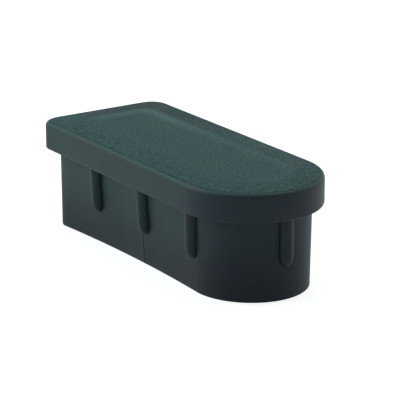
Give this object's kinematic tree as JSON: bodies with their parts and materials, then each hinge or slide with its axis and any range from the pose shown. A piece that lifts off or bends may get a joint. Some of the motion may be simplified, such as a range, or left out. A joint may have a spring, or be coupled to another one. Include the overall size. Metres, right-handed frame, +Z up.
{
  "type": "profile end cap",
  "caption": "Moulded plastic end cap for a D-shaped tube: thick D-shaped flange on a hollow plug with half-round crush ribs.",
  "frame": {"origin": "under the middle of the flange, on the plane that the plug's rim stands on", "axes": "+X towards the round end, +Y across the cap, +Z up to the flange's top face"},
  "size_m": [0.06, 0.025, 0.0191],
  "materials": {
    "cap_plastic": "fine grain on the top face, satin on the sides"
  },
  "bodies": {
    "root": {"end_cap": "cap_plastic"}
  },
  "joints": []
}
